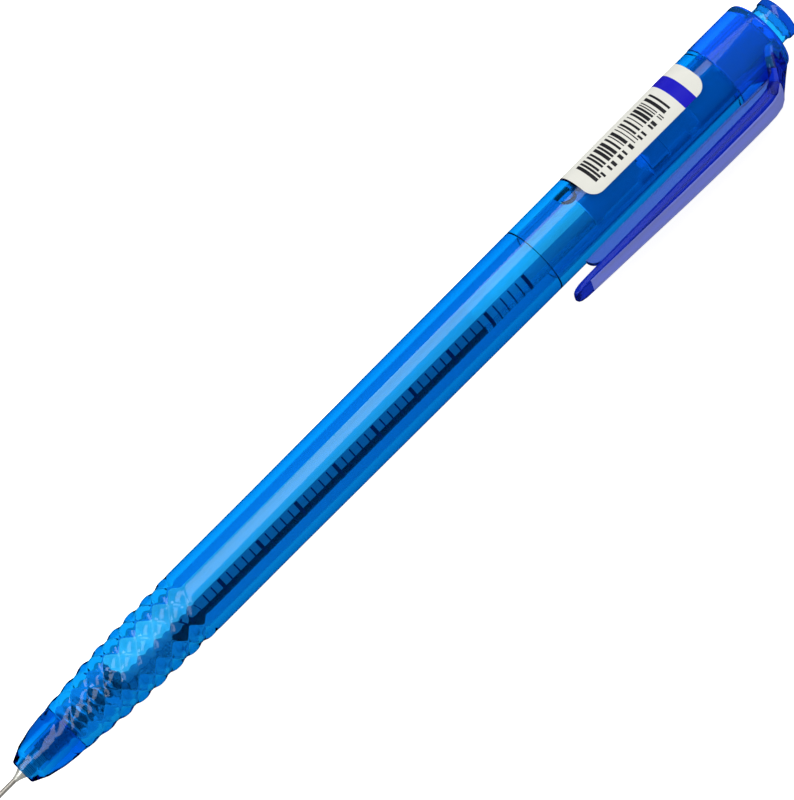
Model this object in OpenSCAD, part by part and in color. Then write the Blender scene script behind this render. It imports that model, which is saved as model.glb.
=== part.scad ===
// Retractable ballpoint pen, lying along +X with its writing point at the origin.
// The push button is at the far end, the pocket clip points to -Y and +Z is up.
// Each piece is drawn standing on its writing point along its own Z, then laid down by along_pen().
// In that standing frame the clip is at angle 0, and angle -90 becomes +Z of the laid pen.

/* [Barrel] */
// Distance from the writing point to the barrel's mouth
mouth_z = 4.9; // [4.5:0.1:5.1]
// Outer radius of the mouth
mouth_r = 1.76; // [1.7:0.02:1.9]
// Height at which the grip ends and the plain holding cylinder starts
grip_end_z = 34; // [33:0.5:34]
// Outer radius of the holding cylinder
hold_r = 4.85; // [4.85:0.01:4.9]
// Height at which the holding cylinder ends and the tube starts to widen
hold_end_z = 50; // [50:0.5:54]
// Height of the barrel's upper end, where the collar starts
barrel_end_z = 133.3; // [133.2:0.1:133.5]
// Outer radius of the barrel's upper end
barrel_end_r = 5.28; // [5.26:0.01:5.3]

/* [Collar and clip] */
// Height of the collar's upper face
collar_top_z = 142.3; // [142.2:0.1:142.5]
// Outer radius of the collar
collar_r = 5.36; // [5.34:0.01:5.4]
// Height of the clip's free end
clip_tip_z = 98.4; // [96:0.2:100]
// Distance of the clip's outer face from the pen's axis, near the strap
clip_out = 9.35; // [9.2:0.05:9.5]
// Width of the clip where it meets the strap
clip_root_w = 4.2; // [4:0.1:4.4]
// Width of the clip at its free end
clip_tip_w = 3.4; // [3.2:0.1:3.6]
// Thickness of the fin under the clip
fin_w = 0.9; // [0.8:0.1:1.2]

/* [Refill] */
// Outer radius of the refill tube
refill_r = 2.45; // [2.4:0.01:2.46]
// Wall of the refill tube
refill_wall = 0.5; // [0.4:0.05:0.55]
// Height of the refill tube's upper end
refill_end_z = 107.7; // [107.4:0.1:107.8]
// Height of the top of the ink
ink_end_z = 87.5; // [60:0.5:98]
// Length of the grease follower above the ink
follower_h = 3.6; // [2:0.2:5]
// Radius of the writing ball
ball_r = 0.3; // [0.28:0.01:0.3]
// Outer radius of the needle
needle_r = 0.34; // [0.33:0.01:0.35]

/* [Click mechanism] */
// Travel of the refill from writing to retracted
travel = 5.5; // [5.4:0.1:5.6]
// Radius of the sleeve's bore
sleeve_bore_r = 3.3; // [3.28:0.01:3.32]
// Radius between the cam lands
land_r = 2.75; // [2.7:0.01:2.78]
// Radius of the push button's neck
button_neck_r = 2.98; // [2.96:0.01:3]
// Radius of the push button's rim
button_rim_r = 3.18; // [3.1:0.02:3.24]
// Height of the push button's top with the point out
button_top_z = 145.8; // [145.6:0.1:146]

/* [Return spring] */
// Radius of the spring wire
wire_r = 0.22; // [0.18:0.01:0.24]
// Mean radius of the coils
coil_r = 1.88; // [1.86:0.01:1.9]
// Number of free coils
coils = 6.5; // [5:0.5:8]

/* [Hidden] */
$fn = 96;
eps = 0.01;
glue = 0.02;               // gap left between glued or pressed pieces of one body
run_fit = 0.1;             // radial clearance of pieces that slide in each other

// barrel
nose = [[2.75, 7], [3.3, 9.3], [3.62, 11.8], [4.01, 16], [4.38, 19.8], [4.6, 24], [4.76, 30]];
mouth_bore_r = 1.25;
mouth_bore_end_z = 7;
seat_bore_r = 1.65;
seat_z = 12.9;             // shoulder that holds the spring's lower end
chamber_r = 2.65;          // the bore widens from the shoulder to the tube, inside an even wall
chamber = [[3.4, 22], [3.15, 18.5]];
chamber_end_z = 30;
tube_bore_r = 3.7;
sleeve_z = 99;             // lower end of the guide sleeve and of the wide bore
wide_bore_r = 4.02;

// refill
flange_z = 21.4;           // face of the connector's flange that carries the spring's upper end
flange_h = 1;
plug_z = 25.2;             // the connector's bore narrows here
plug_end_z = 30.6;
refill_bore_r = refill_r - refill_wall;
flare_z = 3.6;             // where the needle enters the tip holder
shank_z = 5.4;
shank_r = 1.15;
shank_end_z = 8.5;
tail_r = 0.9;
tail_end_z = 12;
connector_r = 1.4;
feed_r = 0.16;             // ink channel behind the ball
channel_r = 0.5;           // ink channel through the connector's plug
chamber_bore_r = 1;        // ink chamber in the connector's nose
chamber_bore_z = 12.8;

// click mechanism
lands = 4;                 // cam lands, and as many grooves and ribs
sleeve_r = wide_bore_r - glue;
sleeve_end_z = 141;
land_z = 118;
rotor_rib_h = 1.7;
land_h = travel - rotor_rib_h - 0.6;  // the retracted rotor's ribs are wholly above the lands
groove_half = 20;          // half of a groove's angle
rib_half = 16;             // half of a rib's angle
rib_r = sleeve_bore_r - run_fit;
rotor_rib_z = land_z - rotor_rib_h - 0.4;
rotor_r = 2.3;
plunger_z = 118;
plunger_r = 2.5;
plunger_rib_h = 7;
ring_z = 127;
ring_end_z = 134;
stem_r = 2.1;
stem_end_z = 141.5;
rim_z = 144.6;
cap_wall_z = 141.1;
cap_hole_r = button_neck_r + run_fit;
teeth = 2 * lands;
tooth_h = 0.7;

// clip
strap_out_z = 137.4;       // where the strap's slope meets the clip's outer face
strap_in_z = 136.4;
strap_top_z = 141.7;
strap_h = 1.9;             // height of the strap's foot on the collar
strap_half = 50;           // half of the angle that the foot covers
strap_sink = 0.25;         // how far the clip's inner face drops towards the axis at the strap
clip_in = 7.35;
fin_out_z = 103;
fin_gap_r = 5.48;
label_z = 109;
label_h = 21.65;
label_from = -256;        // angle of the label's edge on the under side
label_angle = 190;
label_t = 0.08;

module along_pen() rotate([-90, 0, -90]) children();

// outer radius of the tube above the holding cylinder
function tube_r(z) = hold_r + (barrel_end_r - hold_r) * (z - hold_end_z) / (barrel_end_z - hold_end_z);

// a plain round bar, or a tube when bore is above 0
module ring(from, to, r, bore = 0) {
    translate([0, 0, from]) difference() {
        cylinder(h = to - from, r = r);
        if (bore > 0) translate([0, 0, -1]) cylinder(h = to - from + 2, r = bore);
    }
}

// one rib or land of a ring, centred on the given angle and flat-sided
module sector(from, to, r_in, r_out, middle, half) {
    translate([0, 0, from]) rotate(middle - half)
        rotate_extrude(angle = 2 * half)
            translate([r_in, 0]) square([r_out - r_in, to - from]);
}

// V-shaped notches across a tube's end, which leave a crown of teeth pointing up or down
module crown_notches(at, depth, up) {
    notch_half = 180 / teeth;
    reach = 4;
    for (i = [0 : lands - 1]) rotate(i * 180 / lands)
        translate([0, 0, at]) rotate([90, 0, 90])
            translate([0, 0, -reach]) linear_extrude(2 * reach)
                polygon([[-reach * sin(notch_half), up ? eps : -eps],
                         [reach * sin(notch_half), up ? eps : -eps],
                         [0, up ? -depth : depth]]);
}

module barrel() {
    color([0.10, 0.52, 0.93, 0.6]) along_pen() rotate_extrude()
        polygon(concat(
            [[mouth_bore_r, mouth_z], [mouth_r, mouth_z]],
            nose,
            [[hold_r, grip_end_z], [hold_r, hold_end_z], [barrel_end_r, barrel_end_z],
             [wide_bore_r, barrel_end_z], [wide_bore_r, sleeve_z], [tube_bore_r, sleeve_z],
             [tube_bore_r, chamber_end_z]],
            chamber,
            [[chamber_r, seat_z],
             [seat_bore_r, seat_z], [seat_bore_r, mouth_bore_end_z],
             [mouth_bore_r, mouth_bore_end_z - 0.4]]));
}

// side view of the clip's bar: height along the pen against distance from its axis
module clip_side() {
    tip_back = 1.2;        // length of the rounded free end
    level_z = 127;         // from here to the strap both faces keep their distance from the axis
    polygon([[clip_tip_z, clip_in + 0.75], [clip_tip_z + 0.35, clip_in + 0.3],
             [clip_tip_z + tip_back, clip_in + 0.2], [level_z, clip_in],
             [strap_in_z, clip_in - strap_sink], [strap_out_z, clip_out - 0.75],
             [strap_out_z - 1, clip_out - 0.2], [strap_out_z - 2.4, clip_out],
             [level_z, clip_out], [clip_tip_z + 3, clip_out - 0.8],
             [clip_tip_z + tip_back, clip_out - 0.85], [clip_tip_z + 0.3, clip_out - 1.05]]);
}

// front view of the clip's bar, tapered towards its rounded free end
module clip_front() {
    corner = 1.3;          // radius of the free end's corners
    polygon(concat(
        [for (a = [0 : 15 : 90])
            [clip_tip_z + corner * (1 - cos(a)), -clip_tip_w / 2 + corner * (1 - sin(a))]],
        [[strap_out_z, -clip_root_w / 2], [strap_out_z, clip_root_w / 2]],
        [for (a = [0 : 15 : 90])
            [clip_tip_z + corner * (1 - sin(a)), clip_tip_w / 2 - corner * (1 - cos(a))]]));
}

module clip_bar() {
    slab_from = 5;         // the front view is drawn this far from the axis
    slab_t = 6;            // and is as deep as this, past both faces of the bar
    intersection() {
        // drawn in the plane of the pen's axis and the clip
        translate([0, clip_root_w, 0]) rotate([90, 0, 0])
            linear_extrude(2 * clip_root_w) mirror([1, -1]) clip_side();
        translate([slab_from, 0, 0]) rotate([90, 0, 90])
            linear_extrude(slab_t) mirror([1, -1]) clip_front();
    }
}

// slanting strap that leaves the collar and carries the clip
module clip_strap() {
    foot_sink = 0.4;       // depth to which the foot is let into the collar's wall
    foot_t = 0.35;
    end_t = 1;             // length of the clip's end that the strap grows from
    difference() {
        hull() {
            translate([0, 0, strap_top_z - strap_h]) rotate(-strap_half)
                rotate_extrude(angle = 2 * strap_half, $fn = 32)
                    translate([collar_r - foot_sink, 0]) square([foot_t, strap_h]);
            translate([clip_in - strap_sink, -clip_root_w / 2, strap_in_z])
                cube([clip_out - 1 - clip_in, clip_root_w, end_t]);
        }
        cylinder(h = strap_top_z + 1, r = collar_r - foot_sink + 0.1);
    }
}

module clip_fin() {
    nick = 1.6;            // radius of the hollow at the fin's end
    bite = 0.4;            // how far the fin reaches into the bar
    top = strap_top_z - 1.2;
    translate([0, fin_w / 2, 0]) rotate([90, 0, 0]) linear_extrude(fin_w)
        difference() {
            polygon([[fin_gap_r, fin_out_z], [clip_in + bite, fin_out_z - 0.2],
                     [clip_in + bite, strap_in_z], [fin_gap_r, top]]);
            translate([fin_gap_r - 0.2, fin_out_z - 0.5]) circle(r = nick);
        }
}

module clip_cap() {
    edge = 0.7;            // rounded upper edge of the collar
    bore = sleeve_r + glue;
    color([0.05, 0.20, 0.80, 0.7]) along_pen() {
        rotate_extrude()
            polygon(concat(
                [[bore, barrel_end_z + glue], [collar_r - 0.06, barrel_end_z + glue],
                 [collar_r, barrel_end_z + 0.2]],
                [for (a = [0 : 15 : 90])
                    [collar_r - edge * (1 - cos(a)), collar_top_z - edge * (1 - sin(a))]],
                [[cap_hole_r, collar_top_z], [cap_hole_r, cap_wall_z], [bore, cap_wall_z]]));
        clip_bar();
        clip_strap();
        clip_fin();
    }
}

module guide_sleeve() {
    window_r = 1.5;        // a D-shaped window, with its flat side towards the button
    window_flat = 0.9;     // distance of the flat from the window's middle
    window_z = 107.4;
    window_angle = -120;
    pitch = 360 / lands;
    color([0.03, 0.14, 0.60, 0.8]) along_pen() {
        difference() {
            ring(sleeve_z + glue, sleeve_end_z, sleeve_r, sleeve_bore_r);
            rotate(window_angle) translate([0, 0, window_z]) rotate([0, 90, 0])
                intersection() {
                    cylinder(h = sleeve_r + 1, r = window_r);
                    translate([-window_flat, -window_r, 0])
                        cube([window_flat + window_r + eps, 2 * window_r, sleeve_r + 1]);
                }
        }
        for (i = [0 : lands - 1])
            sector(land_z, land_z + land_h, land_r, sleeve_bore_r + 0.1,
                   (i + 0.5) * pitch, pitch / 2 - groove_half);
    }
}

module barcode_label() {
    gap = 0.01;
    r_low = tube_r(label_z) + gap;
    r_high = tube_r(label_z + label_h) + gap;
    color("white") along_pen() rotate(label_from) rotate_extrude(angle = label_angle)
        polygon([[r_low, label_z], [r_low + label_t, label_z],
                 [r_high + label_t, label_z + label_h], [r_high, label_z + label_h]]);
}

module tip_ball() {
    color([0.55, 0.56, 0.58]) along_pen() translate([0, 0, ball_r]) sphere(r = ball_r, $fn = 48);
}

module needle_tube() {
    socket_gap = 0.012;
    lip_z = 0.45 * ball_r;
    back_z = 2 * ball_r + socket_gap;
    needle_end_z = 6;
    color([0.78, 0.79, 0.80]) along_pen() rotate_extrude()
        polygon([[ball_r + socket_gap, lip_z], [needle_r - 0.01, lip_z], [needle_r, lip_z + 0.05],
                 [needle_r, needle_end_z], [feed_r, needle_end_z], [feed_r, back_z + 0.15],
                 [ball_r + socket_gap, back_z]]);
}

module tip_holder() {
    flare_h = shank_z - flare_z;
    flare_r = shank_r - needle_r;
    steps = 6;
    needle_bore_r = needle_r + 0.01;
    needle_bore_z = 6.02;
    color([0.70, 0.71, 0.73]) along_pen() rotate_extrude()
        polygon(concat(
            [[needle_bore_r, flare_z]],
            [for (i = [0 : steps])
                [needle_r + 0.06 + (flare_r - 0.06) * pow(i / steps, 1.6), flare_z + flare_h * i / steps]],
            [[shank_r, shank_end_z], [tail_r, shank_end_z], [tail_r, tail_end_z],
             [channel_r / 2, tail_end_z], [channel_r / 2, needle_bore_z],
             [needle_bore_r, needle_bore_z]]));
}

module refill_connector() {
    socket_r = tail_r + glue;
    plug_r = refill_bore_r - glue;
    color([0.80, 0.88, 0.96]) along_pen() rotate_extrude()
        polygon([[socket_r, shank_end_z + glue], [connector_r, shank_end_z + glue],
                 [connector_r, flange_z], [refill_r, flange_z], [refill_r, flange_z + flange_h],
                 [plug_r, flange_z + flange_h], [plug_r, plug_end_z - 0.4],
                 [plug_r - 0.3, plug_end_z], [channel_r, plug_end_z], [channel_r, plug_z],
                 [chamber_bore_r, plug_z - 0.4], [chamber_bore_r, chamber_bore_z],
                 [channel_r, tail_end_z + glue], [socket_r, tail_end_z + glue]]);
}

module refill_tube() {
    color([0.72, 0.86, 0.97, 0.6]) along_pen()
        ring(flange_z + flange_h + glue, refill_end_z, refill_r, refill_bore_r);
}

// the ink fills the connector's chamber, its narrow channel and the tube
module ink_column() {
    thin = channel_r - glue;
    wide = chamber_bore_r - glue;
    full = refill_bore_r - glue;
    color([0.02, 0.05, 0.35]) along_pen() rotate_extrude()
        polygon([[0, chamber_bore_z], [wide, chamber_bore_z + glue], [wide, plug_z - 0.4 - glue],
                 [thin, plug_z], [thin, plug_end_z + glue], [full, plug_end_z + glue],
                 [full, ink_end_z], [0, ink_end_z]]);
}

module ink_follower() {
    color([0.85, 0.90, 0.95, 0.6]) along_pen()
        ring(ink_end_z, ink_end_z + follower_h, refill_bore_r - glue);
}

module return_spring() {
    // the wire's centre climbs from the barrel's shoulder to the connector's flange,
    // with one closed coil at each end
    gap = 0.03;
    low = seat_z + wire_r + gap;
    high = flange_z - wire_r - gap;
    closed = 2.2 * wire_r;             // rise of a closed end coil
    turns = coils + 2;
    per_turn = 24;
    sides = 8;
    steps = turns * per_turn;
    function rise(t) = t < 1 ? closed * t
        : t > turns - 1 ? high - low - closed * (turns - t)
        : closed + (high - low - 2 * closed) * (t - 1) / coils;
    points = [for (i = [0 : steps]) for (k = [0 : sides - 1])
        let (t = i / per_turn, a = 360 * t, b = 360 * k / sides, r = coil_r + wire_r * cos(b))
            [r * cos(a), r * sin(a), low + rise(t) + wire_r * sin(b)]];
    sides_faces = [for (i = [0 : steps - 1]) for (k = [0 : sides - 1])
        let (n = (k + 1) % sides)
            [i * sides + k, (i + 1) * sides + k, (i + 1) * sides + n, i * sides + n]];
    first_face = [[for (k = [0 : sides - 1]) k]];
    last_face = [[for (k = [0 : sides - 1]) steps * sides + sides - 1 - k]];
    color([0.70, 0.71, 0.72]) along_pen()
        polyhedron(points = points, faces = concat(sides_faces, first_face, last_face));
}

module cam_rotor() {
    spigot_z = 104.5;      // lower end of the spigot that centres the rotor in the refill
    bore_r = 1;
    foot_r = 2.6;
    spigot_r = refill_bore_r - 0.15;
    foot_z = refill_end_z + run_fit;
    foot_h = 1.2;
    top_z = rotor_rib_z + rotor_rib_h - 0.1;
    pitch = 360 / lands;
    color([0.86, 0.90, 0.95]) along_pen() {
        ring(spigot_z, foot_z + foot_h / 2, spigot_r, bore_r);
        ring(foot_z, foot_z + foot_h, foot_r, bore_r);
        difference() {
            ring(foot_z + foot_h / 2, top_z, rotor_r, bore_r);
            crown_notches(top_z, tooth_h, true);
        }
        for (i = [0 : lands - 1])
            sector(rotor_rib_z, rotor_rib_z + rotor_rib_h, rotor_r - 0.3, rib_r, i * pitch, rib_half);
    }
}

module cam_plunger() {
    bore_r = 1.5;
    stem_bore_r = 1.2;
    pitch = 360 / lands;
    color([0.86, 0.90, 0.95]) along_pen() {
        difference() {
            ring(plunger_z, ring_z + 1, plunger_r, bore_r);
            crown_notches(plunger_z, tooth_h, false);
        }
        ring(ring_z, ring_end_z, rib_r, bore_r);
        ring(ring_end_z - 0.5, stem_end_z, stem_r, stem_bore_r);
        for (i = [0 : lands - 1])
            sector(plunger_z, plunger_z + plunger_rib_h, plunger_r - 0.3, rib_r, i * pitch, rib_half);
    }
}

module push_button() {
    socket_end_z = stem_end_z + glue;
    rim_edge = 0.35;
    low_z = ring_end_z + glue;
    color([0.10, 0.62, 0.95, 0.8]) along_pen() rotate_extrude()
        polygon(concat(
            [[stem_r + glue, low_z], [button_neck_r, low_z], [button_neck_r, rim_z],
             [button_rim_r, rim_z + 0.15]],
            [for (a = [0 : 22.5 : 90])
                [button_rim_r - rim_edge * (1 - cos(a)), button_top_z - rim_edge * (1 - sin(a))]],
            [[0, button_top_z], [0, socket_end_z], [stem_r + glue, socket_end_z]]));
}

barrel();
clip_cap();
guide_sleeve();
barcode_label();
tip_ball();
needle_tube();
tip_holder();
refill_connector();
refill_tube();
ink_column();
ink_follower();
return_spring();
cam_rotor();
cam_plunger();
push_button();
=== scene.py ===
"""Looks of a transparent click pen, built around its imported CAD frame.

The pen lies along +X with its writing point at the origin, its clip towards -Y and +Z up.
An angle round the pen, psi, is 0 at the clip and grows through +Z, which faces the camera.
"""
import math

import bmesh
import bpy
import numpy as np
from mathutils import Matrix, Vector


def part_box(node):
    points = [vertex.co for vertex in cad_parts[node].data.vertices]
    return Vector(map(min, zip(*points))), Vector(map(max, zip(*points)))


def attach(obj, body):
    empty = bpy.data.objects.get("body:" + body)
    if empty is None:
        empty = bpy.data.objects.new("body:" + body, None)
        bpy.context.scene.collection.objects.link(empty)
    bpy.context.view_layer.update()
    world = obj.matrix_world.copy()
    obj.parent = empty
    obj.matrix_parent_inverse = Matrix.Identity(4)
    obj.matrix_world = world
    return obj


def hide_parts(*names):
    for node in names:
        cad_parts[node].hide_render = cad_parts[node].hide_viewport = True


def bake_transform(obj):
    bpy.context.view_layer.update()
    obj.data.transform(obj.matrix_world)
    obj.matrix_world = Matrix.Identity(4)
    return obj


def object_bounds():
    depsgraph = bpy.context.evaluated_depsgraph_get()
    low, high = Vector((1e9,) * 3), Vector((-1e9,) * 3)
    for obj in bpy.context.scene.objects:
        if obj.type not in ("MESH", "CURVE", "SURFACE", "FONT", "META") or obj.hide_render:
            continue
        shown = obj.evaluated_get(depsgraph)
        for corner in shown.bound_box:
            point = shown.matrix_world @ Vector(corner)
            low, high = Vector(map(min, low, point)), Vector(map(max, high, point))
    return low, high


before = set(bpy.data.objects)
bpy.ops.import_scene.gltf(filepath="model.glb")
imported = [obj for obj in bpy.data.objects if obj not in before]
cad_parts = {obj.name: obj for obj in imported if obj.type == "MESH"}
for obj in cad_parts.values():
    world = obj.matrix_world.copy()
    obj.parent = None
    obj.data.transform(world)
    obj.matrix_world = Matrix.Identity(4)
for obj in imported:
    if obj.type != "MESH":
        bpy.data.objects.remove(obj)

CAD_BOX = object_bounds()
MM = 0.001
AROUND = 160                # segments round the small turned pieces
BARREL_BODY, REFILL, BUTTON, BALL = "barrel_body", "refill", "button", "writing_ball"


# ---------------------------------------------------------------- places taken from the frame

def low(node):
    """Nearest x of a CAD node to the writing point."""
    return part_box(node)[0].x


def high(node):
    """Farthest x of a CAD node from the writing point."""
    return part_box(node)[1].x


def radius(node):
    """Outer radius of a round CAD node."""
    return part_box(node)[1].z


def outline(node, side):
    """Profile of a turned CAD node as (x, r) points in order along x: side 1 is its outside, -1 its bore."""
    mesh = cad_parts[node].data
    at = {}
    for face in mesh.polygons:
        away = Vector((0, face.center.y, face.center.z))
        if away.length > 1e-7 and face.normal.dot(away.normalized()) * side > 0.3:
            for v in face.vertices:
                spot = mesh.vertices[v].co
                at.setdefault(round(spot.x, 5), []).append(math.hypot(spot.y, spot.z))
    points = []
    for x in sorted(at):
        ends = [min(at[x]), max(at[x])]
        if ends[1] - ends[0] < 0.02 * MM:
            points.append((x, ends[1]))
            continue
        if points and abs(points[-1][1] - ends[1]) < abs(points[-1][1] - ends[0]):
            ends.reverse()
        points += [(x, r) for r in ends]
    return points


def along(points, x):
    """Radius of an outline at x."""
    xs, rs = zip(*points)
    return float(np.interp(x, xs, rs))


def place(x, r, psi):
    """The point at distance r from the pen's axis and angle psi round it."""
    return Vector((x, -r * math.cos(psi), r * math.sin(psi)))


# ---------------------------------------------------------------- mesh helpers

def new_object(name, points, faces, sharp=35):
    """A mesh object with outward normals, smooth except at edges sharper than the given degrees."""
    mesh = bpy.data.meshes.new(name)
    mesh.from_pydata([tuple(p) for p in points], [], faces)
    bm = bmesh.new()
    bm.from_mesh(mesh)
    bmesh.ops.remove_doubles(bm, verts=bm.verts, dist=1e-8)
    bmesh.ops.recalc_face_normals(bm, faces=bm.faces)
    bm.to_mesh(mesh)
    bm.free()
    smooth(mesh, sharp)
    piece = bpy.data.objects.new(name, mesh)
    bpy.context.scene.collection.objects.link(piece)
    return piece


def smooth(mesh, sharp):
    mesh.shade_smooth()
    mesh.set_sharp_from_angle(angle=math.radians(sharp))


def rounded(loop, size, closed=True):
    """An outline with each corner cut back by up to size and replaced by a short curve."""
    out = []
    count = len(loop)
    for i, p in enumerate(loop):
        p = np.array(p)
        if not closed and i in (0, count - 1):
            out.append(tuple(p))
            continue
        a, b = np.array(loop[i - 1]) - p, np.array(loop[(i + 1) % count]) - p
        la, lb = np.linalg.norm(a), np.linalg.norm(b)
        turn = math.degrees(math.acos(np.clip(-(a @ b) / (la * lb), -1, 1)))
        if turn < 12:
            out.append(tuple(p))
            continue
        cut = min(size, 0.4 * la, 0.4 * lb)
        a, b = p + a / la * cut, p + b / lb * cut
        for t in (0, 0.33, 0.67, 1):
            out.append(tuple((1 - t) ** 2 * a + 2 * t * (1 - t) * p + t * t * b))
    return out


def lathe(name, loop, around=AROUND, closed=True, shift=None, sharp=35):
    """Turns an outline round the pen's axis. An open outline starts and ends on the axis.
    shift(x, r, psi) may move a point in or out."""
    points, rows = [], []
    for x, r in loop:
        if r < 1e-7:
            rows.append([len(points)] * around)
            points.append(Vector((x, 0, 0)))
            continue
        row = []
        for k in range(around):
            psi = 2 * math.pi * k / around
            row.append(len(points))
            points.append(place(x, r + (shift(x, r, psi) if shift else 0), psi))
        rows.append(row)
    faces = []
    pairs = list(zip(rows, rows[1:])) + ([(rows[-1], rows[0])] if closed else [])
    for a, b in pairs:
        for k in range(around):
            n = (k + 1) % around
            corners = list(dict.fromkeys((a[k], a[n], b[n], b[k])))
            if len(corners) > 2:
                faces.append(corners)
    return new_object(name, points, faces, sharp)


def turned(name, node, edge=0.08 * MM, around=AROUND, wets=0):
    """A smooth copy of a turned CAD node with its corners rounded. A liquid wets the wall round it:
    wets is how far it reaches past the CAD node, so that no air shows between them."""
    outside, bore = [(x, r + wets) for x, r in outline(node, 1)], outline(node, -1)
    if not bore:
        loop = [(outside[0][0], 0)] + outside + [(outside[-1][0], 0)]
        return lathe(name, rounded(loop, edge, closed=False), around, closed=False)
    return lathe(name, rounded(outside + bore[::-1], edge), around)


def arc_plate(bm, x0, x1, psi0, psi1, inner, thick, steps):
    """Adds a thin curved plate to bm: part of a sleeve with the given inner radius."""
    psis = [psi0 + (psi1 - psi0) * k / steps for k in range(steps + 1)]
    grid = [[bm.verts.new(place(x, r, psi)) for psi in psis]
            for x in (x0, x1) for r in (inner, inner + thick)]
    a, b, c, d = grid                   # low inner, low outer, high inner, high outer
    for k in range(steps):
        for p, q in ((a, b), (b, d), (d, c), (c, a)):
            bm.faces.new((p[k], p[k + 1], q[k + 1], q[k]))
    bm.faces.new((a[0], b[0], d[0], c[0]))
    bm.faces.new((a[-1], c[-1], d[-1], b[-1]))


def object_from(bm, name, sharp=35):
    bmesh.ops.recalc_face_normals(bm, faces=bm.faces)
    mesh = bpy.data.meshes.new(name)
    bm.to_mesh(mesh)
    bm.free()
    smooth(mesh, sharp)
    piece = bpy.data.objects.new(name, mesh)
    bpy.context.scene.collection.objects.link(piece)
    return piece


def tube_along(name, path, wire, sides=12):
    """A round wire with closed ends along a list of points."""
    points, faces = [], []
    for i, p in enumerate(path):
        way = (path[min(i + 1, len(path) - 1)] - path[max(i - 1, 0)]).normalized()
        out = Vector((0, p.y, p.z)).normalized()
        side = way.cross(out).normalized()
        for k in range(sides):
            a = 2 * math.pi * k / sides
            points.append(p + (out * math.cos(a) + side * math.sin(a)) * wire)
    for i in range(len(path) - 1):
        for k in range(sides):
            n = (k + 1) % sides
            faces.append((i * sides + k, i * sides + n, (i + 1) * sides + n, (i + 1) * sides + k))
    faces.append(tuple(range(sides)))
    faces.append(tuple(range(len(points) - sides, len(points))))
    return new_object(name, points, faces, 50)


def joined(base, *others):
    """The union of closed pieces, as one closed mesh."""
    for other in others:
        cut = base.modifiers.new("union", "BOOLEAN")
        cut.operation, cut.solver, cut.object = "UNION", "EXACT", other
        dg = bpy.context.evaluated_depsgraph_get()
        mesh = bpy.data.meshes.new_from_object(base.evaluated_get(dg))
        base.modifiers.clear()
        base.data = mesh
        bpy.data.objects.remove(other)
    return base


def step(x, a, b):
    """0 before a, 1 after b, and smooth between."""
    t = min(max((x - a) / (b - a), 0), 1)
    return t * t * (3 - 2 * t)


# ---------------------------------------------------------------- materials

def material(name):
    """A new node material and its Principled shader."""
    made = bpy.data.materials.new(name)
    made.use_nodes = True
    return made, made.node_tree.nodes["Principled BSDF"]


def node(tree, kind, **values):
    made = tree.nodes.new(kind)
    for key, value in values.items():
        if key in made.inputs:
            made.inputs[key].default_value = value
        else:
            setattr(made, key, value)
    return made


def grain(tree, scale, detail=3, stretch=(1, 1, 1)):
    """Noise in the pen's own space, stretched along the pen if asked."""
    where = node(tree, "ShaderNodeTexCoord")
    sized = node(tree, "ShaderNodeMapping", Scale=stretch)
    noise = node(tree, "ShaderNodeTexNoise", Scale=scale, Detail=detail)
    tree.links.new(where.outputs["Object"], sized.inputs["Vector"])
    tree.links.new(sized.outputs["Vector"], noise.inputs["Vector"])
    return noise.outputs["Fac"]


def spread(tree, fac, a, b):
    """fac mapped from the noise's usual range to a..b."""
    made = node(tree, "ShaderNodeMapRange")
    made.inputs["From Min"].default_value, made.inputs["From Max"].default_value = 0.3, 0.7
    made.inputs["To Min"].default_value, made.inputs["To Max"].default_value = a, b
    tree.links.new(fac, made.inputs["Value"])
    return made.outputs["Result"]


def bumped(tree, shader, fac, height):
    bump = node(tree, "ShaderNodeBump", Strength=1.0, Distance=height)
    tree.links.new(fac, bump.inputs["Height"])
    tree.links.new(bump.outputs["Normal"], shader.inputs["Normal"])


def blended(tree, fac, a, b):
    mix = node(tree, "ShaderNodeMix", data_type="RGBA")
    colours = [s for s in mix.inputs if s.type == "RGBA"]
    colours[0].default_value, colours[1].default_value = (*a, 1), (*b, 1)
    tree.links.new(fac, mix.inputs[0])
    return next(s for s in mix.outputs if s.type == "RGBA")


def clear_plastic(name, surface, depth, absorb, rough=(0.02, 0.05), transmission=1.0,
                  ripple=0.00015 * MM, shine=(0.9, 0.95, 1)):
    """Transparent moulding: tinted at its surface and, more strongly, by its depth. Faint flow ripple
    and handling haze. absorb is per metre, for a channel in which depth is 0."""
    made, shader = material(name)
    tree = made.node_tree
    shader.inputs["Base Color"].default_value = (*surface, 1)
    shader.inputs["Transmission Weight"].default_value = transmission
    shader.inputs["IOR"].default_value = 1.5
    shader.inputs["Specular Tint"].default_value = (*shine, 1)
    body = node(tree, "ShaderNodeVolumeAbsorption", Color=(*depth, 1), Density=absorb)
    tree.links.new(body.outputs["Volume"], tree.nodes["Material Output"].inputs["Volume"])
    tree.links.new(spread(tree, grain(tree, 260, 4, (0.06, 1, 1)), *rough), shader.inputs["Roughness"])
    bumped(tree, shader, grain(tree, 300, 2, (0.04, 1, 1)), ripple)
    return made


def plain_plastic(name, dark, light, rough, transmission=0.0, gloss=0.5, shine=(1, 1, 1), stretch=(1, 1, 1)):
    """Moulded plastic, paper or ink with slight colour and gloss variation."""
    made, shader = material(name)
    tree = made.node_tree
    fac = grain(tree, 400, 4, stretch)
    tree.links.new(blended(tree, fac, dark, light), shader.inputs["Base Color"])
    tree.links.new(spread(tree, grain(tree, 700, 3), *rough), shader.inputs["Roughness"])
    shader.inputs["Transmission Weight"].default_value = transmission
    shader.inputs["Specular IOR Level"].default_value = gloss
    shader.inputs["Specular Tint"].default_value = (*shine, 1)
    bumped(tree, shader, grain(tree, 2500, 2, stretch), 0.0015 * MM)
    return made


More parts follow.
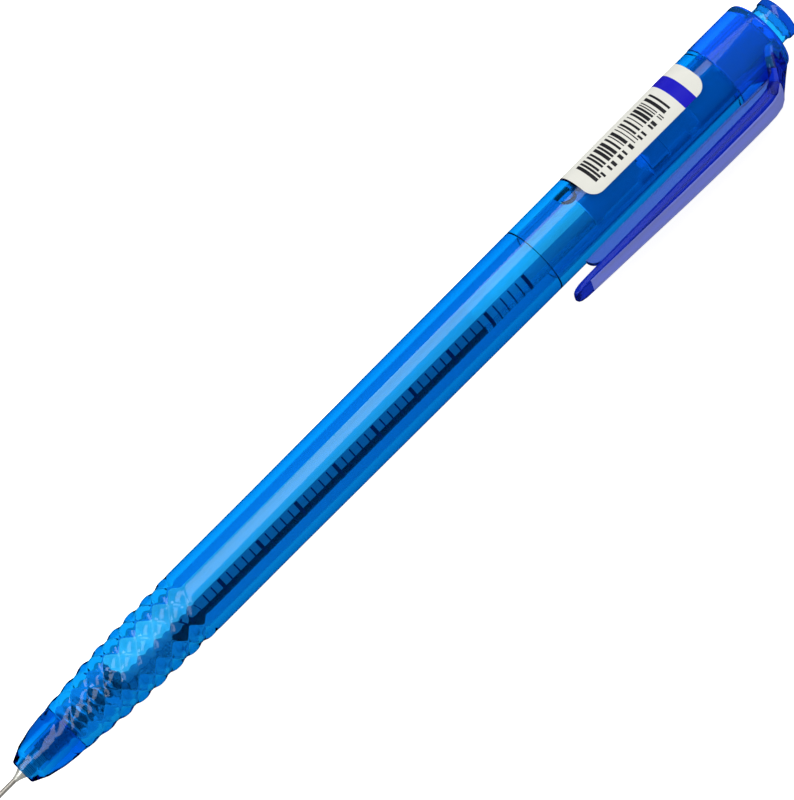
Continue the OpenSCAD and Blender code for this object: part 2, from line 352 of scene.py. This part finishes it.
def painted_glow(made, colour, strength):
    """Adds a faint glow: painted light, which brightens a part that is no lamp."""
    shader = made.node_tree.nodes["Principled BSDF"]
    shader.inputs["Emission Color"].default_value = (*colour, 1)
    shader.inputs["Emission Strength"].default_value = strength
    return made


def steel(name, colour, rough, lines=9000, metallic=1.0):
    """Drawn or turned metal with fine lines round the pen's axis."""
    made, shader = material(name)
    tree = made.node_tree
    shader.inputs["Base Color"].default_value = (*colour, 1)
    shader.inputs["Metallic"].default_value = metallic
    fac = grain(tree, lines, 2, (1, 0.02, 0.02))
    tree.links.new(spread(tree, fac, *rough), shader.inputs["Roughness"])
    bumped(tree, shader, fac, 0.0015 * MM)
    return made


EXTRUDED = (0.03, 1, 1)      # grain drawn out along the pen

BARREL_PLASTIC = clear_plastic("barrel_plastic", (0.32, 0.507, 0.78), (0.0, 0.84, 0.955), 1950)
CLIP_PLASTIC = clear_plastic("clip_plastic", (0.03, 0.37, 0.97), (0.0, 0.62, 0.95), 900, rough=(0.06, 0.11),
                             transmission=0.9, shine=(0.35, 0.5, 0.9))
CLIP_THICK = clear_plastic("clip_bar", (0.015, 0.035, 0.44), (0.0, 0.62, 0.965), 400, rough=(0.06, 0.11),
                           transmission=0.9, shine=(0.2, 0.25, 0.6))
CLIP_WEB = clear_plastic("clip_web", (0.02, 0.09, 0.46), (0.0, 0.62, 0.965), 400, rough=(0.06, 0.11),
                         transmission=0.9, shine=(0.35, 0.5, 0.9))
CLIP_PANEL = clear_plastic("clip_panel", (0.26, 0.31, 0.80), (0.0, 0.62, 0.975), 400, rough=(0.35, 0.55),
                           transmission=0.5, shine=(1, 1, 1), ripple=0.004 * MM)
SLEEVE_PLASTIC = clear_plastic("sleeve_plastic", (0.80, 0.95, 1.0), (0.3, 0.72, 0.98), 300,
                               rough=(0.03, 0.06))
BUTTON_PLASTIC = clear_plastic("button_plastic", (0.04, 0.46, 0.88), (0.0, 0.8, 0.98), 300,
                               rough=(0.05, 0.10), transmission=0.94)
BUTTON_RIM = clear_plastic("button_rim", (0.02, 0.15, 0.50), (0.0, 0.7, 0.97), 600,
                           rough=(0.05, 0.10), transmission=0.9)
# The mechanism's plastic glows faintly blue: painted light that brightens the pieces seen through the barrel
# beside the label.
MECHANISM_PAINTED_GLOW = painted_glow(plain_plastic("mechanism_plastic", (0.45, 0.72, 0.95), (0.52, 0.78, 0.97), (0.35, 0.5)),
                    (0.05, 0.45, 1), 0.24)
CONNECTOR = plain_plastic("connector_plastic", (0.62, 0.82, 0.93), (0.74, 0.89, 0.97), (0.2, 0.35), 0.7)
# The refill wall's three materials are painted light: the side facing the key light is made milky and
# glowing, a band beside it half so, and the rest is the clear wall through which the ink shows.
TUBE_PAINTED_LIT = painted_glow(plain_plastic("refill_plastic", (0.84, 0.93, 0.97), (0.88, 0.95, 0.98), (0.14, 0.22), 0.12,
                             stretch=EXTRUDED), (0.6, 1, 0.78), 0.66)
TUBE_PAINTED_HALF_LIT = painted_glow(plain_plastic("refill_painted_half_lit", (0.42, 0.70, 0.84), (0.48, 0.76, 0.88), (0.14, 0.22), 0.4,
                                 stretch=EXTRUDED), (0.4, 0.85, 1), 0.13)
TUBE_CLEAR = plain_plastic("refill_clear", (0.84, 0.93, 0.97), (0.88, 0.95, 0.98), (0.08, 0.14), 0.97,
                           shine=(0.05, 0.1, 0.3), stretch=EXTRUDED)
INK = plain_plastic("ink", (0.001, 0.003, 0.035), (0.003, 0.008, 0.06), (0.1, 0.2), gloss=0.2)
GREASE = plain_plastic("grease", (0.65, 0.76, 0.84), (0.8, 0.88, 0.93), (0.1, 0.3), 0.8)
STEEL = steel("steel", (0.42, 0.40, 0.36), (0.2, 0.38), metallic=0.6)
CONE_STEEL = steel("cone_steel", (0.66, 0.66, 0.60), (0.2, 0.38), metallic=0.6)
SPRING_STEEL = steel("spring_steel", (0.85, 0.85, 0.86), (0.2, 0.4), 4000)
CARBIDE = steel("ball_carbide", (0.40, 0.40, 0.42), (0.08, 0.16), 2000)
PRINT = plain_plastic("scale_print", (0.01, 0.008, 0.08), (0.03, 0.02, 0.14), (0.4, 0.6), gloss=0.2)
BAR_INK = plain_plastic("label_bars", (0.006, 0.006, 0.008), (0.02, 0.02, 0.024), (0.45, 0.6), gloss=0.1)
BAND_INK = plain_plastic("label_band", (0.004, 0.003, 0.30), (0.008, 0.006, 0.38), (0.35, 0.5), gloss=0.1)
PAPER = plain_plastic("label_paper", (0.48, 0.48, 0.44), (0.53, 0.53, 0.49), (0.5, 0.65), gloss=0.2)


def finished(piece, body, slot, look, *nodes):
    """Gives a piece its material and its body, and hides the CAD nodes that it stands for; slot is not used.
    """
    piece.data.materials.clear()
    piece.data.materials.append(look)
    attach(piece, body)
    if nodes:
        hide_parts(*nodes)
    return piece


# ---------------------------------------------------------------- barrel

BARREL_OUT = outline("barrel", 1)
BARREL_IN = outline("barrel", -1)
GRIP_FROM, GRIP_TO = 10.6 * MM, 35.9 * MM
GRIP_RISE, GRIP_FADE = 11 * MM, 1.7 * MM     # how gradually the pattern begins and ends
PILLOW_X = 32.9 * MM         # a place along the pen where the pillows on the mould's two faces are centred
MOULD_FACE = math.radians(68)
DIAMOND_LONG = 2.95 * MM     # length of a diamond along the pen
DIAMONDS_AROUND = 6
BUNCHED = 0.163              # how much closer the diamonds stand on the mould's faces than at its parting
GROOVE = 0.33 * MM           # depth of the grooves between the pillows
FINE = 20                    # mesh steps to a diamond along the pen
GRIP_STEPS = 216             # mesh steps round the barrel


def eased(points, xs):
    """Outline points joined by a smooth curve that doesn't overshoot, read at xs."""
    px, pr = np.array(points).T
    slope = np.diff(pr) / np.diff(px)
    bend = np.zeros(len(px))
    for i in range(1, len(px) - 1):
        if slope[i - 1] * slope[i] > 0:
            bend[i] = 2 * slope[i - 1] * slope[i] / (slope[i - 1] + slope[i])
    bend[0], bend[-1] = slope[0], slope[-1]
    out = []
    for x in xs:
        i = int(np.clip(np.searchsorted(px, x) - 1, 0, len(px) - 2))
        h = px[i + 1] - px[i]
        t = np.clip((x - px[i]) / h, 0, 1)
        out.append((2 * t**3 - 3 * t**2 + 1) * pr[i] + (t**3 - 2 * t**2 + t) * h * bend[i]
                   + (3 * t**2 - 2 * t**3) * pr[i + 1] + (t**3 - t**2) * h * bend[i + 1])
    return out


def pillow(u, v):
    """0 in the grooves of a diamond pattern and 1 on top of each pillow, where u and v are both whole
    or both half."""
    a, b = u + v, u - v
    a, b = abs(a - round(a)) * 2, abs(b - round(b)) * 2
    return (1 - a**2.6) * (1 - b**2.6)


def grip(x, r, psi):
    """How far the grip's pattern pulls the barrel's surface in."""
    if r < along(BARREL_OUT, x) - 0.5 * MM or not GRIP_FROM < x < GRIP_TO:
        return 0.0
    fade = step(x, GRIP_FROM, GRIP_FROM + GRIP_RISE) * 0.75 + 0.25 * step(x, GRIP_FROM, GRIP_FROM + MM)
    fade *= 1 - step(x, GRIP_TO - GRIP_FADE, GRIP_TO)
    turn = psi - MOULD_FACE
    v = turn * DIAMONDS_AROUND / (2 * math.pi) + BUNCHED * math.sin(2 * turn)
    return -GROOVE * fade * (1 - pillow((x - PILLOW_X) / DIAMOND_LONG, v))


def make_barrel():
    start, end = low("barrel"), high("barrel")
    lip = 0.25 * MM
    xs = [start + lip * t for t in (0.0, 0.3, 0.65)] + list(np.arange(start + lip, GRIP_FROM, 0.35 * MM))
    xs += list(np.arange(GRIP_FROM, GRIP_TO, DIAMOND_LONG / FINE)) + [GRIP_TO, GRIP_TO + 0.3 * MM]
    xs += list(np.linspace(GRIP_TO + 1 * MM, end - 0.12 * MM, 26))
    rs = eased(BARREL_OUT, xs)
    for i, cut in enumerate((0.2, 0.07, 0.015)):
        rs[i] -= cut * MM
    outside = list(zip(xs, rs)) + [(end, rs[-1] - 0.1 * MM)]
    bore = rounded(BARREL_IN, 0.15 * MM, closed=False)
    shell = lathe("barrel_shell", outside + bore[::-1], GRIP_STEPS, shift=grip, sharp=40)
    return finished(shell, BARREL_BODY, "barrel_plastic", BARREL_PLASTIC, "barrel")


# ---------------------------------------------------------------- collar and clip

COLLAR_LOW = high("barrel")
COLLAR_TOP = high("clip_cap")
COLLAR_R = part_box("clip_cap")[1].y
CLIP_OUT = -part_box("clip_cap")[0].y
BORE_R = radius("guide_sleeve") + 0.02 * MM
FOOT_HALF = math.radians(50)                 # half of the angle that the strap's foot covers
PANEL_FROM, PANEL_FULL = 101.6 * MM, 101.9 * MM      # the outer face's shallow panel slopes down here
PANEL_RISE, PANEL_TO = 131.6 * MM, 131.9 * MM        # and up again here
PANEL_REACH = 1.05 * MM      # panel faces lie no deeper than this below the clip's highest point
BAR_REACH = 2.3 * MM         # nor faces of the thick bar deeper than this
STRAP_X = 137.2 * MM         # the strap starts here
OFF_COLLAR = 0.1 * MM        # faces farther than this from the collar belong to the clip


def make_collar():
    edge = 0.75 * MM
    hole = radius("push_button") - 0.1 * MM
    wall = high("guide_sleeve") + 0.1 * MM
    rim = [(COLLAR_TOP - edge * (1 - math.sin(a)), COLLAR_R - edge * (1 - math.cos(a)))
           for a in np.linspace(0, math.pi / 2, 9)]
    loop = [(COLLAR_LOW + 0.02 * MM, BORE_R), (COLLAR_LOW + 0.02 * MM, COLLAR_R - 0.12 * MM),
            (COLLAR_LOW + 0.12 * MM, COLLAR_R - 0.02 * MM), (COLLAR_LOW + 0.3 * MM, COLLAR_R)] + rim
    loop += [(COLLAR_TOP, hole + 0.15 * MM), (COLLAR_TOP - 0.12 * MM, hole), (wall, hole), (wall, BORE_R)]
    return lathe("clip_and_collar", loop, 200)


def clip_lines():
    """The clip's side view from its tip to its foot, in metres. Each row is the outer face's x and its
    distance from the axis, the same for the inner face, and the half width there."""
    out, inn = CLIP_OUT / MM, 7.35          # the faces' distances from the axis, in mm, where they are level
    stations = [                    # in mm
        (98.4, out - 1.15, 98.4, inn + 0.62, 0.55),
        (98.65, out - 0.98, 98.62, inn + 0.42, 1.05),
        (99.1, out - 0.89, 99.05, inn + 0.3, 1.38),
        (99.9, out - 0.84, 99.8, inn + 0.24, 1.62),
        (101.2, out - 0.8, 101.1, inn + 0.22, 1.7),
        (104, out - 0.7, 104, inn + 0.19, 1.74),
        (110, out - 0.5, 110, inn + 0.14, 1.8),
        (118, out - 0.2, 118, inn + 0.06, 1.9),
        (125, out - 0.03, 125, inn, 1.97),
        (130, out, 130, inn - 0.05, 2.02),
        (133.4, out - 0.02, 133.4, inn - 0.1, 2.06),
        (135.2, out - 0.12, 135, inn - 0.17, 2.1),
        (136.6, out - 0.42, 136.1, inn - 0.32, 2.17),
        (137.7, out - 1.0, 137, inn - 0.66, 2.28),
        (138.8, out - 1.85, 137.9, inn - 1.18, 2.5),
        (139.9, out - 2.7, 138.8, inn - 1.74, 2.85),
        (140.9, out - 3.45, 139.5, inn - 2.2, 3.3),
        (141.6, out - 4.0, 140.0, inn - 2.55, 3.7),
        (141.75, out - 4.5, 140.2, inn - 2.95, 3.9),
    ]
    return [[v * MM for v in s] for s in stations]


def clip_section():
    """The clip's rounded cross-section as (across, through): across -1 to 1, through 0 inside to 1 outside,
    with a third value of 1 where the outer face is sunk into a shallow panel."""
    loop = []
    for f in np.linspace(-0.86, 0.86, 9):
        loop.append((f, 0.0, 0))
    loop += [(0.96, 0.06, 0), (1.0, 0.25, 0), (1.0, 0.75, 0),
             (0.965, 0.93, 0), (0.87, 1.0, 0), (0.72, 1.0, 0)]
    for f in (0.64, 0.4, 0.15, -0.15, -0.4, -0.64):
        loop.append((f, 1.0, 1))
    loop += [(-0.72, 1.0, 0), (-0.87, 1.0, 0), (-0.965, 0.93, 0),
             (-1.0, 0.75, 0), (-1.0, 0.25, 0), (-0.96, 0.06, 0)]
    return loop


def make_bar():
    """The clip's bar and its strap, lofted from the tip to the foot inside the collar's wall."""
    panel = 0.1 * MM
    section, points, faces = clip_section(), [], []
    lines = clip_lines()
    dense = []
    for a, b in zip(lines, lines[1:]):
        cuts = max(1, round((b[0] - a[0]) / (1.2 * MM)))
        dense += [[p + (q - p) * k / cuts for p, q in zip(a, b)] for k in range(cuts)]
    dense.append(lines[-1])
    foot_from, foot_to = 137 * MM, 141.6 * MM
    for ox, od, ix, inner, half in dense:
        sunk = panel * step(ox, PANEL_FROM, PANEL_FULL) * (1 - step(ox, PANEL_RISE, PANEL_TO))
        wrap = step(ox, foot_from, foot_to)
        for f, g, low_face in section:
            x = ix + (ox - ix) * g
            d = inner + (od - inner) * g - sunk * low_face
            flat = Vector((x, -d, half * f))
            bent = place(x, d, FOOT_HALF * f)
            points.append(flat.lerp(bent, wrap))
    count = len(section)
    for i in range(len(dense) - 1):
        for k in range(count):
            n = (k + 1) % count
            faces.append((i * count + k, i * count + n, (i + 1) * count + n, (i + 1) * count + k))
    faces.append(tuple(range(count)))
    faces.append(tuple(range(len(points) - count, len(points))))
    return new_object("clip_bar", points, faces, 28)


def make_fin():
    """The thin web between the clip and the barrel, with a hollow at its free end."""
    half, near, far = 0.45 * MM, COLLAR_R + 0.12 * MM, 7.6 * MM
    start, end, hollow = 103.0 * MM, 140.2 * MM, 1.5 * MM
    line = [(start + hollow * (1 - math.cos(a)) + 0.1 * MM, near + hollow * math.sin(a))
            for a in np.linspace(math.pi / 2, 0, 10)]
    line = [(start - 0.05 * MM, far)] + line + [(end, near), (136.2 * MM, far)]
    bm = bmesh.new()
    sides = [[bm.verts.new((x, -d, z)) for x, d in line] for z in (-half, half)]
    for k in range(len(line)):
        n = (k + 1) % len(line)
        bm.faces.new((sides[0][k], sides[0][n], sides[1][n], sides[1][k]))
    bm.faces.new(sides[0])
    bm.faces.new(sides[1])
    return object_from(bm, "fin", 30)


def make_clip():
    """Collar, bar, strap and fin as one closed moulding, with a material for each depth of plastic."""
    whole = joined(make_collar(), make_bar(), make_fin())
    smooth(whole.data, 32)
    finished(whole, BARREL_BODY, "clip_plastic", CLIP_PLASTIC, "clip_cap")
    whole.data.materials.append(CLIP_PANEL)
    whole.data.materials.append(CLIP_THICK)
    whole.data.materials.append(CLIP_WEB)
    for face in whole.data.polygons:
        away = -face.center.y
        on_clip = away > COLLAR_R + OFF_COLLAR
        if face.normal.y < -0.75 and away > CLIP_OUT - PANEL_REACH and face.center.x > PANEL_FROM:
            face.material_index = 1
        elif away > CLIP_OUT - BAR_REACH or (on_clip and face.center.x > STRAP_X):
            face.material_index = 2
        elif on_clip:
            face.material_index = 3


# ---------------------------------------------------------------- label

# label measures: angles round the pen, then places along it from the label's lower edge
LABEL_FROM, LABEL_TO = math.radians(66), math.radians(256)
BAR_FROM, BAR_TO, GUARD_TO = math.radians(91), math.radians(128.5), math.radians(82)
MARK_FROM, MARK_TO = math.radians(78), math.radians(87.5)
STRIP_FROM, STRIP_TO = 1.95, 15.9            # the strip of bars, in mm
BAND_FROM, BAND_TO = 17.3 * MM, 19.4 * MM    # the colour band
LABEL_R = 5.2 * MM                           # the barrel's radius under the label, near enough


def bar_edges():
    """Start and width of each bar, in mm from the label's lower edge, from a plain number rule."""
    bars, x, seed = [], STRIP_FROM, 5
    while x < STRIP_TO:
        seed = (seed * 29 + 11) % 97
        wide = 0.17 * (1 + seed % 3)
        bars.append((x, wide))
        x += wide + 0.19 * (1 + (seed // 7) % 2)
    return bars


def make_label():
    """Paper strip with rounded corners. Its print is faces of other materials on its outer side."""
    x0, x1 = low("barcode_label"), high("barcode_label")
    lift, thick, corner = 0.01 * MM, 0.06 * MM, 1.9 * MM
    bars = bar_edges()
    xs = {x0, x1, x0 + BAND_FROM, x0 + BAND_TO}
    for start, wide in bars:
        xs |= {x0 + start * MM, x0 + (start + wide) * MM}
    xs |= {x0 + corner * (1 - math.cos(a)) for a in np.linspace(0, math.pi / 2, 9)}
    xs |= {x1 - corner * (1 - math.cos(a)) for a in np.linspace(0, math.pi / 2, 9)}
    xs = sorted(xs)
    turns = {LABEL_FROM, LABEL_TO, BAR_FROM, BAR_TO, GUARD_TO, MARK_FROM, MARK_TO}
    turns |= set(np.linspace(LABEL_FROM, LABEL_TO, 96))
    ts = sorted(turns)
    radius_here = [along(BARREL_OUT, x) + lift for x in xs]

    def inset(x):
        """Angle that the rounded corners take off the label's two long edges at x."""
        near = min(x - x0, x1 - x, corner)
        left = corner - math.sqrt(max(corner**2 - (corner - near) ** 2, 0))
        return left / LABEL_R

    points, rows = [], []
    for level in (0, thick):
        for i, x in enumerate(xs):
            cut = inset(x)
            row = []
            for t in ts:
                t = min(max(t, LABEL_FROM + cut), LABEL_TO - cut)
                row.append(len(points))
                points.append(place(x, radius_here[i] + level, t))
            rows.append(row)
    faces, looks = [], []
    across = len(xs)
    for i in range(across - 1):
        for k in range(len(ts) - 1):
            for shift in (0, across):
                a, b = rows[shift + i], rows[shift + i + 1]
                faces.append((a[k], a[k + 1], b[k + 1], b[k]))
                x, t = (xs[i] + xs[i + 1]) / 2 - x0, (ts[k] + ts[k + 1]) / 2
                looks.append(print_at(x, t, bars, shift > 0))
    for k in range(len(ts) - 1):
        for i in (0, across - 1):
            faces.append((rows[i][k], rows[i][k + 1], rows[across + i][k + 1], rows[across + i][k]))
            looks.append(0)
    for i in range(across - 1):
        for k in (0, len(ts) - 1):
            faces.append((rows[i][k], rows[i + 1][k], rows[across + i + 1][k], rows[across + i][k]))
            looks.append(0)
    mesh = bpy.data.meshes.new("label")
    mesh.from_pydata([tuple(p) for p in points], [], faces)
    for look in (PAPER, BAR_INK, BAND_INK):
        mesh.materials.append(look)
    for face, look in zip(mesh.polygons, looks):
        face.material_index = look
    bm = bmesh.new()
    bm.from_mesh(mesh)
    bmesh.ops.remove_doubles(bm, verts=bm.verts, dist=1e-7)
    bmesh.ops.dissolve_degenerate(bm, edges=bm.edges, dist=1e-7)
    bmesh.ops.recalc_face_normals(bm, faces=bm.faces)
    bm.to_mesh(mesh)
    bm.free()
    smooth(mesh, 35)
    label = bpy.data.objects.new("label", mesh)
    bpy.context.scene.collection.objects.link(label)
    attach(label, BARREL_BODY)
    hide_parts("barcode_label")
    return label


def print_at(x, t, bars, outer):
    """Material number of the print at x from the label's lower edge and angle t: paper, bars or band."""
    if not outer:
        return 0
    if BAND_FROM < x < BAND_TO:
        return 2
    for n, (start, wide) in enumerate(bars):
        if start * MM < x < (start + wide) * MM:
            guard = n in (0, 1, len(bars) // 2, len(bars) // 2 + 1, len(bars) - 2, len(bars) - 1)
            if (GUARD_TO if guard else BAR_FROM) < t < BAR_TO:
                return 1
            if not guard and n % 3 and MARK_FROM < t < MARK_TO:
                return 1
    return 0


# ---------------------------------------------------------------- refill

PAINTED_LIT_MIDDLE = math.radians(122)                  # the middle of the refill wall's side that is painted lit, milky and glowing, facing the key light
HALF_LIT_FROM, CLEAR_FROM = math.radians(60), math.radians(92)     # how far round from there the painted light drops to half, and where it stops at the clear wall
WETTING = 0.035 * MM                         # how far ink and grease reach into the tube's wall


def make_refill():
    finished(turned("needle", "needle_tube", 0.03 * MM, 64), REFILL, "steel", STEEL, "needle_tube")
    finished(turned("cone", "tip_holder", 0.06 * MM), REFILL, "steel", CONE_STEEL, "tip_holder")
    finished(turned("connector", "refill_connector", 0.12 * MM), REFILL, "mechanism_plastic", CONNECTOR,
             "refill_connector")
    tube = turned("refill_tube_wall", "refill_tube", 0.1 * MM)
    finished(tube, REFILL, "refill_plastic", TUBE_PAINTED_LIT, "refill_tube")
    tube.data.materials.append(TUBE_CLEAR)
    tube.data.materials.append(TUBE_PAINTED_HALF_LIT)
    # Painted light: faces round the side facing the key light get the lit material, then the half-lit one,
    # and the rest the clear wall.
    for face in tube.data.polygons:
        turn = math.atan2(face.center.z, -face.center.y) - PAINTED_LIT_MIDDLE
        turn = abs(math.remainder(turn, 2 * math.pi))
        face.material_index = 0 if turn < HALF_LIT_FROM else 2 if turn < CLEAR_FROM else 1
    finished(turned("ink_body", "ink_column", 0.1 * MM, wets=WETTING), REFILL, "ink", INK, "ink_column")
    finished(turned("follower", "ink_follower", 0.3 * MM, wets=WETTING), REFILL, "grease", GREASE,
             "ink_follower")
    make_scale()
    ball = lathe("ball", [(radius("tip_ball") * (1 - math.cos(a)), radius("tip_ball") * math.sin(a))
                          for a in np.linspace(0, math.pi, 25)], 48, closed=False)
    finished(ball, BALL, "ball_carbide", CARBIDE, "tip_ball")


def make_scale():
    """Ink-level scale printed on the refill: a thick mark every fifth place."""
    first, pitch, places = 32.72 * MM, 1.398 * MM, 46
    r = radius("refill_tube") + 0.004 * MM
    bm = bmesh.new()
    for i in range(places):
        thick = i % 5 == 0
        half = (0.27 if thick else 0.1) * MM
        x = first + i * pitch
        span = (math.radians(-28), math.radians(60)) if thick else (math.radians(-12), math.radians(58))
        arc_plate(bm, x - half, x + half, *span, r, 0.012 * MM, 20)
    finished(object_from(bm, "scale_marks"), REFILL, "ink", PRINT)


def make_spring():
    """Compression spring that stretches between the barrel's shoulder and the connector's flange."""
    wire, coil = 0.22 * MM, 1.88 * MM       # radii of the wire and of the coil's middle line
    lo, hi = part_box("return_spring")
    start, end = lo.x + wire, hi.x - wire
    free, closed = 6.5, 2.2 * wire          # free turns, and the rise of the closed turn at each end
    turns, per_turn = free + 2, 40
    path = []
    for i in range(int(turns * per_turn) + 1):
        t = i / per_turn
        if t < 1:
            x = start + closed * t
        elif t > turns - 1:
            x = end - closed * (turns - t)
        else:
            x = start + closed + (end - start - 2 * closed) * (t - 1) / free
        path.append(place(x, coil, -2 * math.pi * t))
    spring = tube_along("coil_spring", path, wire)
    spring.data.materials.append(SPRING_STEEL)
    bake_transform(spring)
    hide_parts("return_spring")


# ---------------------------------------------------------------- button and mechanism

NECK_R = 2.98 * MM
NECK_FROM, RIM_X = 142.0 * MM, 144.6 * MM    # the faceted neck and the rim's lower face
FACETS_AROUND, FACET_LONG, FACET_MIDDLE = 10, 2.4 * MM, 143.4 * MM
FACET_DEPTH = 0.08 * MM


def make_button():
    """Click button: a stem with facets cut round its neck, under a rounded rim."""
    outside, bore = outline("push_button", 1), outline("push_button", -1)
    top, rim = high("push_button"), radius("push_button")
    start, socket = low("push_button"), max(x for x, r in bore)
    inner, edge = bore[0][1], 0.35 * MM
    loop = [(top, 0), (top - 0.02 * MM, rim - 1.2 * MM)]
    loop += [(top - edge * (1 - math.sin(a)), rim - edge * (1 - math.cos(a)))
             for a in np.linspace(math.pi / 2, 0, 7)]
    loop += [(RIM_X + 0.1 * MM, rim), (RIM_X, rim - 0.08 * MM), (RIM_X - 0.02 * MM, NECK_R)]
    loop += [(x, NECK_R) for x in np.linspace(RIM_X - 0.1 * MM, NECK_FROM, 24)]
    loop += [(start, NECK_R), (start, inner), (socket, inner), (socket, 0)]

    def facets(x, r, psi):
        if r < NECK_R - 0.2 * MM or not 142.1 * MM < x < RIM_X - 0.05 * MM:
            return 0.0
        turn = psi * FACETS_AROUND / (2 * math.pi)
        return -FACET_DEPTH * (1 - pillow((x - FACET_MIDDLE) / FACET_LONG, turn))

    button = lathe("button_cap", loop, 160, closed=False, shift=facets, sharp=40)
    finished(button, BUTTON, "button_plastic", BUTTON_PLASTIC, "push_button")
    button.data.materials.append(BUTTON_RIM)
    for face in button.data.polygons:
        if face.center.x > RIM_X:
            face.material_index = 1


def dress_cad():
    """Materials of the inner CAD pieces that stay as they are."""
    looks = {"cam_rotor": MECHANISM_PAINTED_GLOW, "cam_plunger": MECHANISM_PAINTED_GLOW, "guide_sleeve": SLEEVE_PLASTIC}
    for name, look in looks.items():
        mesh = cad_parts[name].data
        mesh.materials.clear()
        mesh.materials.append(look)


# ---------------------------------------------------------------- stage

CAMERA_LIFT = math.radians(65)      # how far the camera looks down on the lying pen
CAMERA_AWAY = 468 * MM              # its distance from the pen's axis
CAMERA_X = 4.2 * MM
LOOK_X, LOOK_DOWN = 72.9 * MM, 0.2 * MM      # the point it looks at: along the pen, and off its axis
LENS = 163.7
FLOOR_HALF = 3.0
GLOW_Y, GLOW = (-0.006, 0.007), (0.92, 1.65)     # the floor glows more on the side away from the clip
SURROUND = 0.9


def make_camera():
    """Looks across the pen from beside its writing end, turned so that the pen climbs at 45 degrees."""
    eye = Vector((CAMERA_X, -CAMERA_AWAY * math.cos(CAMERA_LIFT), CAMERA_AWAY * math.sin(CAMERA_LIFT)))
    clip_way = place(0, 1, CAMERA_LIFT - math.pi / 2)
    target = Vector((LOOK_X, 0, 0)) + clip_way * LOOK_DOWN
    back = (eye - target).normalized()
    pen_way = Vector((1, 0, 0))
    pen_way = (pen_way - back * pen_way.dot(back)).normalized()
    side_way = pen_way.cross(back)
    right, up = (pen_way + side_way).normalized(), (pen_way - side_way).normalized()
    data = bpy.data.cameras.new("camera")
    data.lens, data.sensor_width, data.sensor_fit = LENS, 36, "AUTO"
    data.clip_start, data.clip_end = 0.02, 20
    camera = bpy.data.objects.new("camera", data)
    camera.matrix_world = Matrix(((*right, 0), (*up, 0), (*back, 0), (*eye, 1))).transposed()
    bpy.context.scene.collection.objects.link(camera)
    bpy.context.scene.camera = camera


def softbox(name, place_at, aim, size, power):
    data = bpy.data.lights.new(name, "AREA")
    data.shape, data.size, data.size_y, data.energy = "RECTANGLE", size[0], size[1], power
    lamp = bpy.data.objects.new(name, data)
    lamp.location = place_at
    lamp.rotation_mode = "QUATERNION"
    lamp.rotation_quaternion = (Vector(aim) - Vector(place_at)).to_track_quat("-Z", "Y")
    bpy.context.scene.collection.objects.link(lamp)


def make_stage():
    """Pale glowing floor, a white surround and three soft lights. Floor and surround are hidden from
    reflections, so that only the lights show in the pen's gloss."""
    floor_z = CAD_BOX[0].z - 0.02 * MM
    bm = bmesh.new()
    spots = ((-1, -1), (1, -1), (1, 1), (-1, 1))
    bm.faces.new([bm.verts.new((x * FLOOR_HALF, y * FLOOR_HALF, floor_z)) for x, y in spots])
    mesh = bpy.data.meshes.new("floor")
    bm.to_mesh(mesh)
    bm.free()
    floor = bpy.data.objects.new("floor", mesh)
    bpy.context.scene.collection.objects.link(floor)
    made, shader = material("floor")
    tree = made.node_tree
    mottle = blended(tree, grain(tree, 40), (0.12, 0.12, 0.12), (0.14, 0.14, 0.14))
    tree.links.new(mottle, shader.inputs["Base Color"])
    shader.inputs["Roughness"].default_value = 0.9
    shader.inputs["Specular IOR Level"].default_value = 0.1
    shader.inputs["Emission Color"].default_value = (1, 1, 1, 1)
    where, part = node(tree, "ShaderNodeTexCoord"), node(tree, "ShaderNodeSeparateXYZ")
    glow = node(tree, "ShaderNodeMapRange", interpolation_type="SMOOTHSTEP")
    for key, value in zip(("From Min", "From Max", "To Min", "To Max"), (*GLOW_Y, *GLOW)):
        glow.inputs[key].default_value = value
    tree.links.new(where.outputs["Object"], part.inputs["Vector"])
    tree.links.new(part.outputs["Y"], glow.inputs["Value"])
    tree.links.new(glow.outputs["Result"], shader.inputs["Emission Strength"])
    floor.data.materials.append(made)
    floor.visible_glossy = False
    world = bpy.data.worlds.new("surround")
    world.use_nodes = True
    world.node_tree.nodes["Background"].inputs["Color"].default_value = (1, 1, 1, 1)
    world.node_tree.nodes["Background"].inputs["Strength"].default_value = SURROUND
    world.cycles_visibility.glossy = False
    bpy.context.scene.world = world
    middle = (CAD_BOX[0] + CAD_BOX[1]) / 2
    softbox("key", (middle.x - 0.05, 0.05, 0.55), middle, (0.9, 0.25), 1.9)
    for name, x in (("fill_low", -0.45), ("fill_high", 0.6)):
        softbox(name, (x, 0.08, 0.4), middle, (0.3, 0.3), 1.2)
    bpy.context.scene.view_settings.view_transform = "Standard"


make_camera()
make_stage()
make_barrel()
make_clip()
make_label()
make_refill()
make_spring()
make_button()
dress_cad()
